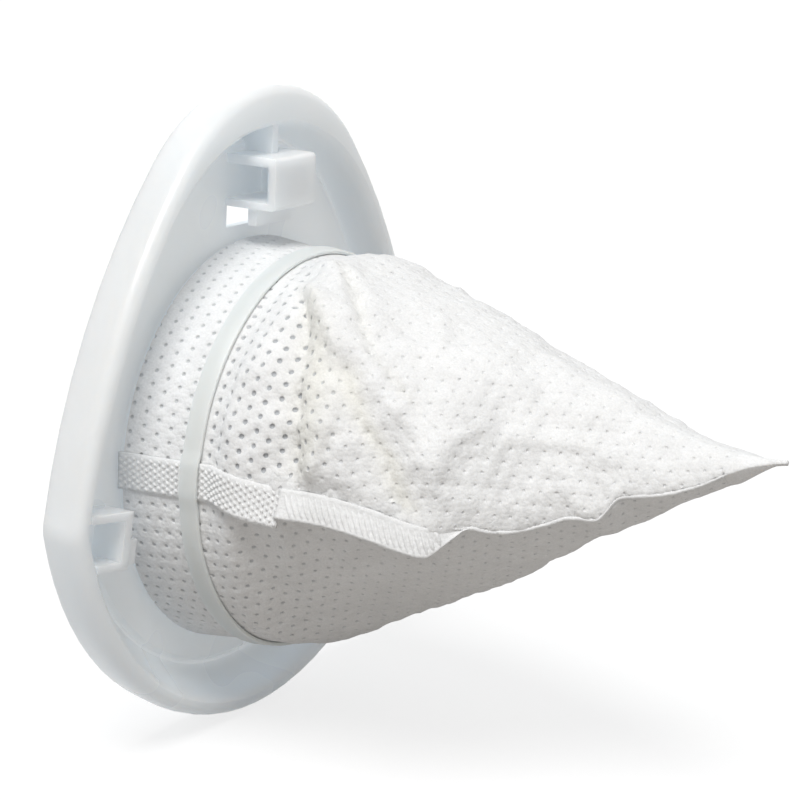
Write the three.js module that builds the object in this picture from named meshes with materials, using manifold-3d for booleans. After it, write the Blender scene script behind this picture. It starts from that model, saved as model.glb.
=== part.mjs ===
// Dust filter of a hand-held vacuum cleaner, in millimetres.
// X runs along the axis of the collar, from the frame's flat rear seat at X = 0 towards the bag's tip. Z is up.
// A moulded frame carries a round collar, a cloth cone is pulled over the collar, and a flat band clamps it there.
import * as THREE from "three";
import { mergeVertices } from "three/addons/utils/BufferGeometryUtils.js";
import Module from "manifold-3d";

// Frame outline, seen along X
const FRAME_WIDTH = 124.2;
const FRAME_TOP = 72.4; // top edge above the axis
const FRAME_BOTTOM = 57.2; // bottom edge below the axis
const CORNER_DROP = 7; // side corners below the axis
const TOP_RADIUS = 40;
const SIDE_RADIUS = 132;
const CORNER_RADIUS = 8;

// Frame section
const RIM_DEPTH = 9.2; // from the seat to the top of the lip
const LIP_WIDTH = 3.8;
const LIP_TOP_WIDTH = 7.9; // the lip is wider over the top clip
const LIP_ROUND = 2;
const SKIRT_DRAFT = 0.9;
const WALL = 1.8;
const FLOOR_THICKNESS = 2;
const FLOOR_STEP = 0.9; // the floor stands this far above the groove that runs round it
const GROOVE_WIDTH = 1;
const DISH_SIDE = 7.4; // outline to the floor's edge, at the sides
const DISH_TOP = 11.5; // outline to the floor's edge, at the top
const DISH_BOTTOM = 10.4; // outline to the floor's edge, at the bottom

// Collar
const COLLAR_ROOT_RADIUS = 40.9;
const COLLAR_TIP_RADIUS = 38.4;
const COLLAR_LENGTH = 21.5; // from the seat
const COLLAR_WALL = 1.6;
const COLLAR_FILLET = 0.4;

// Top clip: a box that is open at one side, with a rib above it, a catch under it and a window in the floor below
const CLIP_WIDTH = 14.4;
const CLIP_TOP = 58.8; // height of its upper face above the axis
const CLIP_HEIGHT = 10.5;
const CLIP_REACH = 13.7; // from the seat to its front face
const CLIP_FRONT_WALL = 1.8;
const CLIP_UPPER_WALL = 1.9;
const CLIP_LOWER_WALL = 1.5;
const CLIP_END_WALL = 2;
const CLIP_ROUND = 0.9;
const RIB_THICKNESS = 2;
const RIB_REACH = 8.6; // from the seat to its front edge
const TOP_CATCH_WIDTH = 12.4;
const TOP_CATCH_DROP = 3.5;

// Side clips: a bracket at either side, square to the dish wall, with a catch that faces the collar
const SIDE_CLIP_LEVEL = 10.7; // centre of the bracket below the axis
const SIDE_CLIP_HEIGHT = 11.4;
const SIDE_CLIP_FACE = 46; // from the axis to the bracket's inner face
const SIDE_CLIP_WALL = 1.7;
const SIDE_CLIP_INNER_WALL = 2.3;
const SIDE_CLIP_TILT = 8; // degrees
const SIDE_CATCH_WIDTH = 5;
const SIDE_CATCH_OFFSET = 2.4; // below the middle of the bracket
const SIDE_CATCH_DROP = 2.6;

// Catches and windows
const CATCH_SEAT = 6.8; // from the seat to the catch's rear face
const CATCH_THICKNESS = 2.2;
const CATCH_LEAD = 0.3; // slope of the catch's front
const WINDOW_MARGIN = 0.5; // a window is this much wider than its catch, at each end
const WINDOW_REACH = 1; // a window runs this far past the catch's tip

// Bag
const CLOTH = 0.6;
const CLEARANCE = 0.3; // between pieces that touch
const BAG_MOUTH = 3.5; // from the seat to the bag's edge on the collar
const TIP_REACH = 123.6; // from the seat to the bag's tip
const TIP_RISE = 15.8;
const TIP_SIDE = -4;
const TIP_SIZE = 0.4;
const CAVITY_END = 0.85; // share of the bag's free length that is hollow

// Weld strip down the bag's near side, in two lengths of different width. The shares are of the bag's free length.
const STRIP_WIDTH = 7.3; // on the collar and down to the step
const STRIP_FREE_WIDTH = 5.4; // from the step to the end
const STRIP_THICKNESS = 1;
const STRIP_LOWER_EDGE = -2.4; // on the collar, against the axis
const STRIP_STEP = 0.168;
const STRIP_STEP_RUN = 0.2; // the step is this long
const STRIP_CORNER = 0.451; // the strip is cut off in a slant from here
const STRIP_END = 0.495;
const STRIP_END_WIDTH = 0.5;

// Retaining band
const BAND_WIDTH = 3.8;
const BAND_THICKNESS = 0.8;
const BAND_START = 16.5; // from the seat
const BAND_ROUND = 0.25;

// Facets
const ROUND_STEPS = 56;
const BAG_STEPS = 14; // in each quarter of a bag section
const ARC_STEPS = { bottom: 16, corner: 5, side: 8, top: 13 };
const CUT_OVERRUN = 1;

const kernel = await Module();
kernel.setup();

// A closed mesh as a solid, with its faces turned outwards
function solid(geometry) {
  const bare = geometry.index ? geometry.clone() : mergeVertices(geometry.clone());
  for (const name of ["normal", "uv"]) bare.deleteAttribute(name);
  const merged = mergeVertices(bare, 1e-4);
  const vertProperties = new Float32Array(merged.attributes.position.array);
  const triVerts = new Uint32Array(merged.index.array);
  if (signedVolume(vertProperties, triVerts) < 0) triVerts.reverse();
  return new kernel.Manifold(new kernel.Mesh({ numProp: 3, vertProperties, triVerts }));
}

function signedVolume(positions, triangles) {
  const corner = (i) => new THREE.Vector3().fromArray(positions, 3 * triangles[i]);
  let volume = 0;
  for (let i = 0; i < triangles.length; i += 3) {
    volume += corner(i).dot(corner(i + 1).cross(corner(i + 2))) / 6;
  }
  return volume;
}

function toGeometry(manifold) {
  const mesh = manifold.getMesh();
  const geometry = new THREE.BufferGeometry();
  geometry.setAttribute("position", new THREE.BufferAttribute(new Float32Array(mesh.vertProperties), 3));
  geometry.setIndex(new THREE.BufferAttribute(new Uint32Array(mesh.triVerts), 1));
  geometry.computeVertexNormals();
  return geometry;
}

// A skin over rings of points, each counter-clockwise about +X. Its ends are capped, or its last ring meets its first.
function loft(rings, capped = true) {
  const count = rings[0].length;
  const points = rings.flat();
  const index = [];
  const spans = capped ? rings.length - 1 : rings.length;
  for (let i = 0; i < spans; i++) {
    const here = i * count;
    const next = ((i + 1) % rings.length) * count;
    for (let j = 0; j < count; j++) {
      const k = (j + 1) % count;
      index.push(here + j, here + k, next + k, here + j, next + k, next + j);
    }
  }
  if (capped) {
    const last = (rings.length - 1) * count;
    const ends = [rings[0], rings.at(-1)].map((ring) => {
      const middle = ring.reduce((sum, p) => sum.add(p), new THREE.Vector3()).divideScalar(count);
      return points.push(middle) - 1;
    });
    for (let j = 0; j < count; j++) {
      const k = (j + 1) % count;
      index.push(ends[0], k, j, ends[1], last + j, last + k);
    }
  }
  const geometry = new THREE.BufferGeometry().setFromPoints(points);
  geometry.setIndex(index);
  return geometry;
}

// A profile of [radius, x] pairs turned about the X axis
function turned(profile) {
  const points = profile.map(([radius, x]) => new THREE.Vector2(radius, x));
  return new THREE.LatheGeometry(points, ROUND_STEPS).rotateZ(-Math.PI / 2);
}

// A shape drawn in [y, z] and run along X
function alongX(shape, from, to) {
  const geometry = new THREE.ExtrudeGeometry(shape, { depth: to - from, bevelEnabled: false });
  const turn = new THREE.Matrix4().set(0, 0, 1, from, 1, 0, 0, 0, 0, 1, 0, 0, 0, 0, 0, 1);
  return geometry.applyMatrix4(turn);
}

// A shape drawn in [x, z] and run across Y, centred on Y = 0
function alongY(shape, width) {
  const geometry = new THREE.ExtrudeGeometry(shape, { depth: width, bevelEnabled: false });
  return geometry.rotateX(Math.PI / 2).translate(0, width / 2, 0);
}

function polygon(corners) {
  return new THREE.Shape(corners.map(([u, v]) => new THREE.Vector2(u, v)));
}

function rectangle(left, bottom, right, top) {
  return polygon([[left, bottom], [right, bottom], [right, top], [left, top]]);
}

// Where two circles meet: of the two points, the one with the larger y, or with the smaller one if farther is set
function circlesMeet(a, radiusA, b, radiusB, farther = false) {
  const between = b.clone().sub(a);
  const distance = between.length();
  const along = (radiusA ** 2 - radiusB ** 2 + distance ** 2) / (2 * distance);
  const away = Math.sqrt(Math.max(radiusA ** 2 - along ** 2, 0));
  const unit = between.divideScalar(distance);
  const across = new THREE.Vector2(-unit.y, unit.x);
  if (across.x < 0 !== farther) across.negate();
  return a.clone().addScaledVector(unit, along).addScaledVector(across, away);
}

// Centres of the outline's arcs, on the +Y side: one round bottom, long side arcs, one round top
const sideCorner = new THREE.Vector2(FRAME_WIDTH / 2, -CORNER_DROP);
const bottomCentre = new THREE.Vector2(
  0,
  (sideCorner.lengthSq() - FRAME_BOTTOM ** 2) / (2 * (FRAME_BOTTOM - CORNER_DROP)),
);
const bottomRadius = bottomCentre.y + FRAME_BOTTOM;
const topCentre = new THREE.Vector2(0, FRAME_TOP - TOP_RADIUS);
const sideCentre = circlesMeet(topCentre, SIDE_RADIUS - TOP_RADIUS, sideCorner, SIDE_RADIUS, true);

function arc(centre, radius, from, to, steps) {
  const points = [];
  for (let i = 0; i < steps; i++) {
    const angle = from + ((to - from) * i) / steps;
    points.push(new THREE.Vector2(Math.cos(angle), Math.sin(angle)).multiplyScalar(radius).add(centre));
  }
  return points;
}

// The frame's outline as a ring at x, drawn in by an inset of its own at the sides, at the bottom and at the top
function outline(x, inset, bottomInset = inset, topInset = inset) {
  const bottom = bottomRadius - bottomInset;
  const side = SIDE_RADIUS - inset;
  const apex = FRAME_TOP - topInset;
  const rise = apex - sideCentre.y;
  const top = (side ** 2 - sideCentre.x ** 2 - rise ** 2) / (2 * (side - rise));
  const topMiddle = new THREE.Vector2(0, apex - top);
  const fillet = Math.max(CORNER_RADIUS - inset, 1.5);
  const filletCentre = circlesMeet(bottomCentre, bottom - fillet, sideCentre, side - fillet);
  const heading = (from, to) => to.clone().sub(from).angle();
  const bottomEnd = heading(bottomCentre, filletCentre);
  const sideStart = heading(sideCentre, filletCentre);
  const sideEnd = heading(sideCentre, topMiddle);
  const lower = bottomEnd > Math.PI ? bottomEnd - 2 * Math.PI : bottomEnd;
  const upper = sideStart > Math.PI ? sideStart - 2 * Math.PI : sideStart;
  const half = [
    ...arc(bottomCentre, bottom, -Math.PI / 2, lower, ARC_STEPS.bottom),
    ...arc(filletCentre, fillet, lower, upper, ARC_STEPS.corner),
    ...arc(sideCentre, side, upper, sideEnd, ARC_STEPS.side),
    ...arc(topMiddle, top, sideEnd, Math.PI / 2, ARC_STEPS.top),
    new THREE.Vector2(0, apex),
  ];
  const mirrored = half.slice(1, -1).reverse().map((p) => new THREE.Vector2(-p.x, p.y));
  return [...half, ...mirrored].map((p) => new THREE.Vector3(x, p.x, p.y));
}

// The dish wall runs from the lip's inner edge at share 0 to the floor's edge at share 1
const dishTop = RIM_DEPTH - LIP_ROUND;
const grooveLevel = FLOOR_THICKNESS - FLOOR_STEP;
const dishStart = LIP_WIDTH + 0.3 * LIP_ROUND;
const topExtra = LIP_TOP_WIDTH - LIP_WIDTH;
function dishWall(share, deeper = 0) {
  const x = THREE.MathUtils.lerp(dishTop, grooveLevel, share);
  const inset = THREE.MathUtils.lerp(dishStart, DISH_SIDE - GROOVE_WIDTH, share);
  const bottomInset = THREE.MathUtils.lerp(dishStart, DISH_BOTTOM - GROOVE_WIDTH, share);
  const topInset = THREE.MathUtils.lerp(dishStart + topExtra, DISH_TOP - GROOVE_WIDTH, share);
  return outline(x, inset - deeper, bottomInset - deeper, topInset - deeper);
}

// The moulding's rim, dish and floor in one skin, from the rear seat round the lip to the floor
function dishBody() {
  const floorEdge = grooveLevel + 0.5 * FLOOR_STEP;
  const lip = (x, inset) => outline(x, inset, inset, inset + topExtra);
  const floorRing = (x, extra) => outline(x, DISH_SIDE + extra, DISH_BOTTOM + extra, DISH_TOP + extra);
  return solid(loft([
    outline(0, SKIRT_DRAFT),
    outline(0.35 * RIM_DEPTH, 0.3 * SKIRT_DRAFT),
    outline(0.6 * RIM_DEPTH, 0),
    outline(RIM_DEPTH - LIP_ROUND, 0.07 * LIP_ROUND),
    outline(RIM_DEPTH - 0.5 * LIP_ROUND, 0.25 * LIP_ROUND),
    outline(RIM_DEPTH - 0.15 * LIP_ROUND, 0.6 * LIP_ROUND),
    outline(RIM_DEPTH, LIP_ROUND),
    lip(RIM_DEPTH, LIP_WIDTH - 0.4 * LIP_ROUND),
    lip(RIM_DEPTH - 0.3 * LIP_ROUND, LIP_WIDTH),
    dishWall(0),
    dishWall(1),
    floorRing(grooveLevel, -0.3 * GROOVE_WIDTH),
    floorRing(floorEdge, 0),
    floorRing(FLOOR_THICKNESS, 0.6 * GROOVE_WIDTH),
  ]));
}

// The channel at the back, between the skirt and the dish wall, that keeps the walls even
function rearChannel() {
  const channelTop = RIM_DEPTH - 1.2 * WALL;
  const back = (inset) => inset - 1.25 * WALL;
  const sideRoot = back(DISH_SIDE - GROOVE_WIDTH);
  const bottomRoot = back(DISH_BOTTOM - GROOVE_WIDTH);
  const topRoot = back(DISH_TOP - GROOVE_WIDTH);
  return solid(loft([
    outline(-CUT_OVERRUN, WALL + SKIRT_DRAFT),
    outline(channelTop - 0.5, WALL),
    outline(channelTop, WALL + 0.15),
    outline(channelTop - 0.5, WALL + 0.5, WALL + 0.7, WALL + 0.5 + topExtra),
    outline(0, sideRoot, bottomRoot, topRoot),
    outline(-CUT_OVERRUN, sideRoot, bottomRoot, topRoot),
  ], false));
}

function collarRadius(x) {
  return THREE.MathUtils.mapLinear(x, 0, COLLAR_LENGTH, COLLAR_ROOT_RADIUS, COLLAR_TIP_RADIUS);
}

function collarOuter() {
  const filletTop = FLOOR_THICKNESS + COLLAR_FILLET;
  return solid(turned([
    [0, grooveLevel / 2],
    [collarRadius(0) + COLLAR_FILLET, grooveLevel / 2],
    [collarRadius(0) + COLLAR_FILLET, FLOOR_THICKNESS],
    [collarRadius(filletTop), filletTop],
    [collarRadius(COLLAR_LENGTH - 0.5), COLLAR_LENGTH - 0.5],
    [COLLAR_TIP_RADIUS - 0.5, COLLAR_LENGTH],
    [0, COLLAR_LENGTH],
  ]));
}

function collarBore() {
  const bore = (x) => collarRadius(x) - COLLAR_WALL;
  return solid(turned([
    [0, -CUT_OVERRUN],
    [bore(0) + CUT_OVERRUN, -CUT_OVERRUN],
    [bore(1), 1],
    [bore(COLLAR_LENGTH + CUT_OVERRUN), COLLAR_LENGTH + CUT_OVERRUN],
    [0, COLLAR_LENGTH + CUT_OVERRUN],
  ]));
}

// A catch's section: square behind, sloped in front, with its tip at drop below its root
function catchSection(root, tip) {
  const back = CATCH_SEAT;
  const front = CATCH_SEAT + CATCH_THICKNESS;
  return polygon([[back, root], [back, tip], [front - CATCH_LEAD, tip], [front, root]]);
}

function topClip() {
  const lowerFace = CLIP_TOP - CLIP_HEIGHT;
  const base = grooveLevel;
  const section = new THREE.Shape();
  section.moveTo(base, lowerFace);
  section.lineTo(CLIP_REACH - CLIP_ROUND, lowerFace);
  section.absarc(CLIP_REACH - CLIP_ROUND, lowerFace + CLIP_ROUND, CLIP_ROUND, -Math.PI / 2, 0);
  section.absarc(CLIP_REACH - CLIP_ROUND, CLIP_TOP - CLIP_ROUND, CLIP_ROUND, 0, Math.PI / 2);
  section.lineTo(base, CLIP_TOP);
  const pocket = rectangle(
    FLOOR_THICKNESS,
    lowerFace + CLIP_LOWER_WALL,
    CLIP_REACH - CLIP_FRONT_WALL,
    CLIP_TOP - CLIP_UPPER_WALL,
  );
  const rib = rectangle(base, CLIP_TOP - CLIP_UPPER_WALL / 2, RIB_REACH, FRAME_TOP);
  const nose = catchSection(lowerFace + CLIP_LOWER_WALL / 2, lowerFace - TOP_CATCH_DROP);
  return solid(alongY(section, CLIP_WIDTH))
    .subtract(solid(alongY(pocket, CLIP_WIDTH).translate(0, -CLIP_END_WALL, 0)))
    .add(solid(alongY(rib, RIB_THICKNESS)))
    .add(solid(alongY(nose, TOP_CATCH_WIDTH)));
}

function topWindow() {
  const half = TOP_CATCH_WIDTH / 2 + WINDOW_MARGIN;
  const upper = CLIP_TOP - CLIP_HEIGHT;
  const lower = upper - TOP_CATCH_DROP - WINDOW_REACH;
  return solid(alongX(rectangle(-half, lower, half, upper), -CUT_OVERRUN, FLOOR_THICKNESS + CUT_OVERRUN));
}

// Sets a side clip's geometry, drawn about the middle of the bracket's inner face, in its place on the +Y side
function atSideClip(geometry) {
  return solid(geometry
    .rotateX(THREE.MathUtils.degToRad(SIDE_CLIP_TILT))
    .translate(0, SIDE_CLIP_FACE, -SIDE_CLIP_LEVEL));
}

// A U of plates that opens outwards to the dish wall, with its catch on the inner plate
function sideClip() {
  const outer = FRAME_WIDTH / 2 - SIDE_CLIP_FACE;
  const upper = SIDE_CLIP_HEIGHT / 2;
  const lower = -SIDE_CLIP_HEIGHT / 2;
  const plates = polygon([
    [outer, upper],
    [0, upper],
    [0, lower],
    [outer, lower],
    [outer, lower + SIDE_CLIP_WALL],
    [SIDE_CLIP_INNER_WALL, lower + SIDE_CLIP_WALL],
    [SIDE_CLIP_INNER_WALL, upper - SIDE_CLIP_WALL],
    [outer, upper - SIDE_CLIP_WALL],
  ]);
  const nose = alongY(catchSection(SIDE_CLIP_INNER_WALL / 2, -SIDE_CATCH_DROP), SIDE_CATCH_WIDTH)
    .rotateX(-Math.PI / 2)
    .translate(0, 0, -SIDE_CATCH_OFFSET);
  return atSideClip(alongX(plates, grooveLevel, RIM_DEPTH)).add(atSideClip(nose));
}

function sideWindow() {
  const half = SIDE_CATCH_WIDTH / 2 + WINDOW_MARGIN;
  const tip = -SIDE_CATCH_DROP - WINDOW_REACH;
  const shape = rectangle(tip, -SIDE_CATCH_OFFSET - half, 0, -SIDE_CATCH_OFFSET + half);
  return atSideClip(alongX(shape, -CUT_OVERRUN, FLOOR_THICKNESS + CUT_OVERRUN));
}

// The room inside the dish that the clips may fill: their plates end inside the dish wall
function clipRoom() {
  const bite = 0.4 * WALL;
  return solid(loft([
    dishWall(0.97, bite),
    dishWall(0, bite),
    outline(RIM_DEPTH, LIP_WIDTH, LIP_WIDTH, LIP_TOP_WIDTH),
    outline(CLIP_REACH + CUT_OVERRUN, LIP_WIDTH, LIP_WIDTH, LIP_TOP_WIDTH),
  ]));
}

function frame() {
  const otherSide = (piece) => piece.mirror([0, 1, 0]);
  const clips = topClip().add(sideClip()).add(otherSide(sideClip())).intersect(clipRoom());
  return dishBody()
    .subtract(rearChannel())
    .add(collarOuter())
    .add(clips)
    .subtract(collarBore())
    .subtract(topWindow())
    .subtract(sideWindow())
    .subtract(otherSide(sideWindow()));
}

// A smooth line through [share, value] stations that doesn't overshoot between them
function line(stations) {
  const slope = stations.map(([share, value], i) => {
    const before = stations[i - 1];
    const after = stations[i + 1];
    if (!before || !after) return 0;
    const left = (value - before[1]) / (share - before[0]);
    const right = (after[1] - value) / (after[0] - share);
    return left * right > 0 ? (2 * left * right) / (left + right) : 0;
  });
  return (share) => {
    const last = stations.length - 1;
    if (share <= stations[0][0]) return stations[0][1];
    if (share >= stations[last][0]) return stations[last][1];
    const i = stations.findIndex(([s]) => s > share) - 1;
    const [from, a] = stations[i];
    const [to, b] = stations[i + 1];
    const width = to - from;
    const t = (share - from) / width;
    const rise = 3 * t ** 2 - 2 * t ** 3;
    return a + (b - a) * rise + width * (slope[i] * (t - 2 * t ** 2 + t ** 3) + slope[i + 1] * (t ** 3 - t ** 2));
  };
}

// The bag beyond the collar. The first number is a share of its free length, from the collar's end to the tip, and
// the second is the distance from the bag's centre line, as a share of the cuff's radius.
const BAG_LINES = {
  crown: line([[0, 1], [0.07, 1], [0.18, 0.9], [0.36, 0.7], [0.64, 0.33], [0.81, 0.11], [1, 0]]),
  keel: line([[0, -1], [0.05, -1.01], [0.21, -0.88], [0.44, -0.65], [0.58, -0.47], [0.73, -0.29], [0.9, -0.11],
    [1, 0]]),
  far: line([[0, 1], [0.13, 0.97], [0.38, 0.8], [0.67, 0.51], [0.87, 0.25], [1, 0]]),
  near: line([[0, -1], [0.05, -1.03], [0.18, -0.97], [0.36, -0.87], [0.44, -0.8], [0.5, -0.61], [0.67, -0.36],
    [0.9, -0.09], [1, 0]]),
  seam: line([[0, 0.13], [0.09, 0.07], [0.17, 0.018], [0.22, 0], [0.33, -0.077], [0.45, -0.188], [0.5, -0.21],
    [0.55, -0.25], [0.68, -0.22], [0.73, -0.13], [0.84, -0.1], [0.94, -0.01], [1, 0]]),
};

// How square the quarters of a section are: 2 is an ellipse, 1 a straight line
const BAG_FULLNESS = {
  nearTop: line([[0, 2], [0.28, 1.9], [0.57, 1.75], [1, 1.6]]),
  nearUnder: line([[0, 2], [0.1, 1.5], [0.28, 1.25], [0.44, 1.2], [0.52, 1.35], [1, 1.5]]),
  farSide: line([[0, 2], [0.28, 1.9], [0.57, 1.6], [1, 1.4]]),
};

// Folds of the cloth on the near upper side. Each line gives the share of the free length against the share of the
// way up from the seam to the crown, and depth is a share of the section's size there.
const FOLDS = [
  {
    path: line([[0, 0.175], [0.2, 0.2], [0.4, 0.19], [0.6, 0.125], [0.75, 0.06]]),
    depth: -0.055,
    width: 0.045,
    ends: [-0.2, 0.75],
  },
  {
    path: line([[0.45, 0.34], [0.5, 0.28], [0.56, 0.22], [0.72, 0.15], [0.85, 0.09]]),
    depth: -0.035,
    width: 0.05,
    ends: [0.42, 0.88],
  },
  {
    path: line([[0.1, 0.42], [0.17, 0.395], [0.31, 0.36], [0.38, 0.33], [0.44, 0.27]]),
    depth: -0.07,
    width: 0.05,
    ends: [0.02, 0.5],
  },
  {
    path: line([[0, 0.49], [0.27, 0.455], [0.36, 0.42], [0.4, 0.37], [0.47, 0.3]]),
    depth: 0.04,
    width: 0.045,
    ends: [-0.2, 0.55],
  },
];

const cuffRadius = (x) => collarRadius(x) + CLEARANCE + CLOTH;
const tipRadius = cuffRadius(COLLAR_LENGTH);
const freeLength = TIP_REACH - COLLAR_LENGTH;
const bagX = (share) => COLLAR_LENGTH + share * freeLength;

function bagCentre(share) {
  return new THREE.Vector2(TIP_SIDE, TIP_RISE).multiplyScalar(Math.max(share, 0));
}

function foldDepth(share, rise) {
  return FOLDS.reduce((sum, { path, depth, width, ends }) => {
    const fade = 0.08;
    const start = THREE.MathUtils.smoothstep(rise, ends[0], ends[0] + fade);
    const end = 1 - THREE.MathUtils.smoothstep(rise, ends[1] - fade, ends[1]);
    return sum + depth * start * end * Math.exp(-(((share - path(rise)) / width) ** 2));
  }, 0);
}

// A quarter of a section, from its side point to its upper or lower point
function quarter(side, end, fullness, turn) {
  const corner = new THREE.Vector2(end.x, side.y);
  const c = Math.cos(turn) ** (2 / fullness);
  const s = Math.sin(turn) ** (2 / fullness);
  return corner.clone()
    .addScaledVector(side.clone().sub(corner), c)
    .addScaledVector(end.clone().sub(corner), s);
}

// One section of the free bag, counter-clockwise about +X from its far side, drawn in towards its centre by inset
function freeSection(share, inset = 0) {
  const at = Object.fromEntries(Object.entries(BAG_LINES).map(([name, value]) => [name, value(share) * tipRadius]));
  const blend = THREE.MathUtils.smoothstep(share, 0, 0.12);
  const far = new THREE.Vector2(Math.max(at.far, TIP_SIZE), 0);
  const crown = new THREE.Vector2(0, Math.max(at.crown, TIP_SIZE));
  const near = new THREE.Vector2(Math.min(at.near, -TIP_SIZE), at.seam * blend);
  const keel = new THREE.Vector2(0, Math.min(at.keel, -TIP_SIZE));
  const nearTop = BAG_FULLNESS.nearTop(share);
  const nearUnder = BAG_FULLNESS.nearUnder(share);
  const farSide = BAG_FULLNESS.farSide(share);
  const shrink = 1 - inset / ((crown.y - keel.y) / 2);
  const centre = bagCentre(share);
  const points = [];
  for (let i = 0; i < 4 * BAG_STEPS; i++) {
    const turn = ((i % BAG_STEPS) / BAG_STEPS) * (Math.PI / 2);
    const back = Math.PI / 2 - turn;
    const side = Math.floor(i / BAG_STEPS);
    let p;
    if (side === 0) p = quarter(far, crown, farSide, turn);
    if (side === 1) p = quarter(near, crown, nearTop, back);
    if (side === 2) p = quarter(near, keel, nearUnder, turn);
    if (side === 3) p = quarter(far, keel, farSide, back);
    if (side === 1) p.multiplyScalar(1 + foldDepth(share, back / (Math.PI / 2)));
    p.multiplyScalar(shrink).add(centre);
    points.push(new THREE.Vector3(bagX(share), p.x, p.y));
  }
  return points;
}

function cuffRing(x, radius) {
  const points = [];
  for (let i = 0; i < 4 * BAG_STEPS; i++) {
    const angle = (i / (4 * BAG_STEPS)) * 2 * Math.PI;
    points.push(new THREE.Vector3(x, radius * Math.cos(angle), radius * Math.sin(angle)));
  }
  return points;
}

// A piece of the weld strip, skinned over boxes of [x, outer y, lower z, upper z]
function stripPiece(stations) {
  return solid(loft(stations.map(([x, y, lower, upper]) => [
    new THREE.Vector3(x, y + STRIP_THICKNESS, lower),
    new THREE.Vector3(x, y + STRIP_THICKNESS, upper),
    new THREE.Vector3(x, y, upper),
    new THREE.Vector3(x, y, lower),
  ])));
}

// On the cuff the strip lies flat, from close to the floor up to the band
function cuffStrip() {
  const upper = STRIP_LOWER_EDGE + STRIP_WIDTH;
  const from = FLOOR_THICKNESS + COLLAR_FILLET + CLEARANCE;
  const to = BAND_START - CLEARANCE;
  return stripPiece([from, to].map((x) => {
    const face = -(cuffRadius(x) + 0.5 * STRIP_THICKNESS);
    return [x, face, STRIP_LOWER_EDGE, upper];
  }));
}

// Beyond the band it hangs from the seam and stands out from the bag's side. At the step it gets narrower.
function hangingStrip() {
  const station = (share, width) => {
    const centre = bagCentre(share);
    const y = BAG_LINES.near(share) * tipRadius + centre.x - 0.4 * STRIP_THICKNESS;
    const seam = BAG_LINES.seam(share) * tipRadius + centre.y;
    return [bagX(share), y, seam - width, seam];
  };
  const bandEnd = (BAND_START + BAND_WIDTH + 2 * CLEARANCE - COLLAR_LENGTH) / freeLength;
  const stepEnd = STRIP_STEP + STRIP_STEP_RUN / freeLength;
  const wide = [bandEnd, 0.03, 0.07, 0.12, STRIP_STEP];
  const narrow = [stepEnd, 0.22, 0.28, 0.33, 0.37, 0.41, STRIP_CORNER];
  return stripPiece([
    ...wide.map((share) => station(share, STRIP_WIDTH)),
    ...narrow.map((share) => station(share, STRIP_FREE_WIDTH)),
    station(STRIP_END, STRIP_END_WIDTH),
  ]);
}

function bag() {
  const shares = [];
  for (let share = 0; share < 0.56; share += 0.028) shares.push(share);
  shares.push(0.57, 0.6, 0.64, 0.68, 0.73, 0.79, CAVITY_END, 0.9, 0.94, 0.97, 1);
  const hollow = shares.filter((share, i) => share <= CAVITY_END && i % 2 === 1);
  const inner = hollow.map((share) => freeSection(share, CLOTH)).reverse();
  const outer = shares.filter((share) => share !== 0).map((share) => freeSection(share));
  const cuffEnds = [BAG_MOUTH, COLLAR_LENGTH];
  const cuffInner = cuffEnds.map((x) => cuffRing(x, cuffRadius(x) - CLOTH)).reverse();
  const cuffOuter = cuffEnds.map((x) => cuffRing(x, cuffRadius(x)));
  return solid(loft([...inner, ...cuffInner, ...cuffOuter, ...outer])).add(cuffStrip()).add(hangingStrip());
}

function retainingBand() {
  const end = BAND_START + BAND_WIDTH;
  const inner = (x) => cuffRadius(x) + CLEARANCE;
  const outer = (x) => inner(x) + BAND_THICKNESS;
  return turned([
    [inner(BAND_START), BAND_START],
    [outer(BAND_START) - BAND_ROUND, BAND_START],
    [outer(BAND_START), BAND_START + BAND_ROUND],
    [outer(end), end - BAND_ROUND],
    [outer(end) - BAND_ROUND, end],
    [inner(end), end],
    [inner(BAND_START), BAND_START],
  ]);
}

function piece(name, geometry, look) {
  const mesh = new THREE.Mesh(geometry, new THREE.MeshStandardMaterial(look));
  mesh.name = name;
  return mesh;
}

const group = new THREE.Group();
group.add(
  piece("frame", toGeometry(frame()), { color: 0xd3dbe2, roughness: 0.35, metalness: 0 }),
  piece("filter_bag", toGeometry(bag()), { color: 0xf1f0ee, roughness: 0.9, metalness: 0 }),
  piece("retaining_band", toGeometry(solid(retainingBand())), { color: 0xcfd8d6, roughness: 0.4, metalness: 0 }),
);

export default group;
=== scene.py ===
"""A vacuum cleaner's dust filter: a milky plastic frame, a perforated cloth cone and a clamping band."""

import math

import bmesh
import bpy
import numpy as np
from mathutils import Matrix, Vector, noise


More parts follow.
